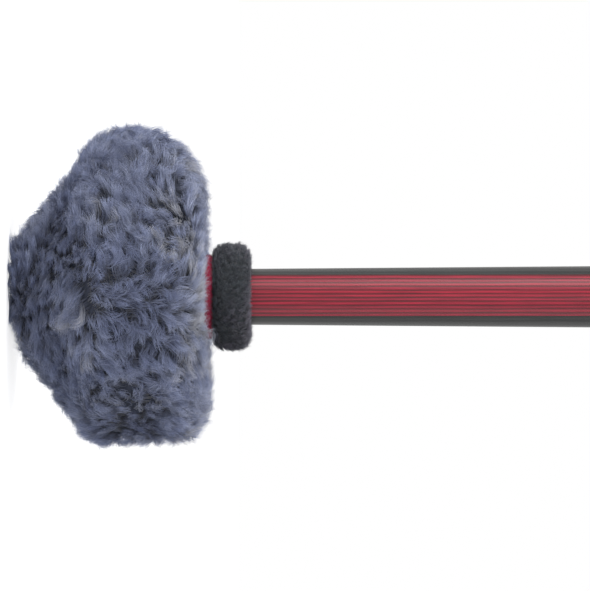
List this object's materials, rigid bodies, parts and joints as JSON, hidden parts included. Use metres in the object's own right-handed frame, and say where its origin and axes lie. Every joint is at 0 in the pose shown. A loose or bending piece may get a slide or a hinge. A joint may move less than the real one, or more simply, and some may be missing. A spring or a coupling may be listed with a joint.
{
  "type": "gong mallet",
  "caption": "Gong mallet with a heavy padded head in blue-grey fleece, a red felt washer and dark collar at the neck, and a turned shaft of laminated red and charcoal wood.",
  "frame": {"origin": "middle of the flat nose, on the axis of the shaft", "axes": "+Z along the shaft from the nose to the butt; the veneers' glue lines are square to X, and the head swells furthest towards -X"},
  "size_m": [0.128, 0.128, 0.375],
  "materials": {
    "fleece": "long curly pile fleece, blue grey",
    "padding": "soft undyed wool batting",
    "hard_felt": "dense pressed felt",
    "hub_wood": "bare turned hardwood",
    "steel": "turned steel",
    "screw_steel": "zinc plated steel",
    "cord": "braided cord",
    "red_felt": "crimson felt",
    "rubber": "firm black rubber",
    "collar_fleece": "short dense fleece, dark slate",
    "dark_wood": "charcoal dyed laminated wood, satin lacquer",
    "red_wood": "red dyed laminated wood, satin lacquer"
  },
  "bodies": {
    "root": {"fur_cover": "fleece", "nose_pad": "padding", "side_padding": "padding", "rear_pad": "padding", "inner_felt_cup": "hard_felt", "front_plate": "hub_wood", "hub": "hub_wood", "weight_ring": "steel", "retaining_washer": "screw_steel", "retaining_screw": "screw_steel", "draw_cord": "cord", "red_felt_washer": "red_felt", "collar_ring": "rubber", "collar_sleeve": "collar_fleece", "dark_cheek_high": "dark_wood", "dark_cheek_low": "dark_wood", "red_veneer_01": "red_wood", "red_veneer_02": "red_wood", "red_veneer_03": "red_wood", "red_veneer_04": "red_wood", "red_veneer_05": "red_wood", "red_veneer_06": "red_wood", "red_veneer_07": "red_wood", "red_veneer_08": "red_wood", "red_veneer_09": "red_wood", "red_veneer_10": "red_wood", "red_veneer_11": "red_wood"}
  },
  "joints": []
}
